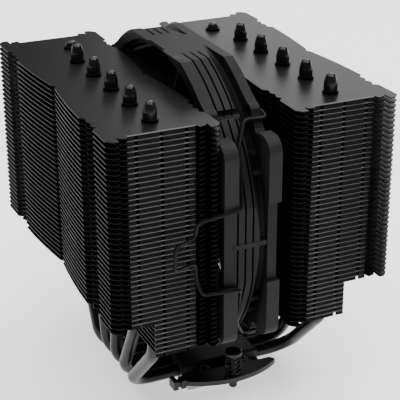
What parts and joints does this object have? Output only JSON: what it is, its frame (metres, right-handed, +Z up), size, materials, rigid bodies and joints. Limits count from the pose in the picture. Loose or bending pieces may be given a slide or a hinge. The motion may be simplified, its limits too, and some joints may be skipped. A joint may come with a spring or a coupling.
{
  "type": "cpu tower cooler",
  "caption": "Twin-tower processor air cooler: two stacks of thin fins on U-shaped heat pipes, a round-framed fan between them on wire clips, and a sprung-screw base.",
  "frame": {"origin": "centre of the cold plate's contact face, midway between the two spring screws", "axes": "+Z up away from the processor, X along the air's way through the fan, Y across the fins; the two spring screws lie on Y"},
  "size_m": [0.134, 0.1608, 0.16],
  "materials": {
    "fin_black": "satin",
    "pipe_black": "gloss",
    "plate_metal": "satin",
    "cover_black": "satin",
    "bracket_black": "satin",
    "screw_black": "satin",
    "screw_steel": "satin",
    "spring_steel": "gloss",
    "frame_plastic": "matte",
    "pad_rubber": "matte",
    "bearing_brass": "satin",
    "board_green": "satin",
    "core_steel": "satin",
    "coil_copper": "gloss",
    "magnet": "matte",
    "ring_plastic": "matte",
    "impeller_plastic": "satin",
    "clip_wire": "gloss"
  },
  "bodies": {
    "base": {"left_fins": "fin_black", "right_fins": "fin_black", "heat_pipe_1": "pipe_black", "heat_pipe_2": "pipe_black", "heat_pipe_3": "pipe_black", "heat_pipe_4": "pipe_black", "heat_pipe_5": "pipe_black", "heat_pipe_6": "pipe_black", "cold_plate": "plate_metal", "base_cover": "cover_black", "near_bracket": "bracket_black", "far_bracket": "bracket_black", "bracket_screws": "screw_steel"},
    "near_slider": {"near_spring": "spring_steel", "near_retainer": "screw_steel"},
    "near_screw": {"near_screw": "screw_black"},
    "far_slider": {"far_spring": "spring_steel", "far_retainer": "screw_steel"},
    "far_screw": {"far_screw": "screw_black"},
    "fan": {"fan_frame": "frame_plastic", "inlet_pads": "pad_rubber", "outlet_pads": "pad_rubber", "bearing_tube": "frame_plastic", "bearing": "bearing_brass", "circuit_board": "board_green", "stator_core": "core_steel", "stator_coils": "coil_copper"},
    "rotor": {"shaft": "spring_steel", "shaft_ring": "ring_plastic", "rotor_yoke": "core_steel", "rotor_magnet": "magnet", "impeller": "impeller_plastic"},
    "near_clip": {"near_clip": "clip_wire"},
    "far_clip": {"far_clip": "clip_wire"}
  },
  "joints": [
    {"name": "near_screw_press", "type": "slide", "parent": "base", "child": "near_slider", "axis": [0, 0, -1], "range_m": [0, 0.003], "stiffness_N_per_m": 6000, "springref_m": -0.002, "deforming": ["near_spring"]},
    {"name": "near_screw_turn", "type": "hinge", "parent": "near_slider", "child": "near_screw", "pos_m": [0, -0.0415, 0.012], "axis": [0, 0, 1], "continuous": true},
    {"name": "far_screw_press", "type": "slide", "parent": "base", "child": "far_slider", "axis": [0, 0, -1], "range_m": [0, 0.003], "stiffness_N_per_m": 6000, "springref_m": -0.002, "deforming": ["far_spring"]},
    {"name": "far_screw_turn", "type": "hinge", "parent": "far_slider", "child": "far_screw", "pos_m": [0, 0.0415, 0.012], "axis": [0, 0, 1], "continuous": true},
    {"name": "fan_lift", "type": "slide", "parent": "base", "child": "fan", "axis": [0, 0, 1], "range_m": [0, 0.165]},
    {"name": "fan_spin", "type": "hinge", "parent": "fan", "child": "rotor", "pos_m": [-0.0059, 0.004, 0.09], "axis": [1, 0, 0], "continuous": true},
    {"name": "near_clip_swing", "type": "hinge", "parent": "fan", "child": "near_clip", "pos_m": [0.0082, -0.0485, 0.09], "axis": [0, 0, 1], "range_deg": [0, 20]},
    {"name": "far_clip_swing", "type": "hinge", "parent": "fan", "child": "far_clip", "pos_m": [0.0082, 0.0565, 0.09], "axis": [0, 0, -1], "range_deg": [0, 20]}
  ]
}
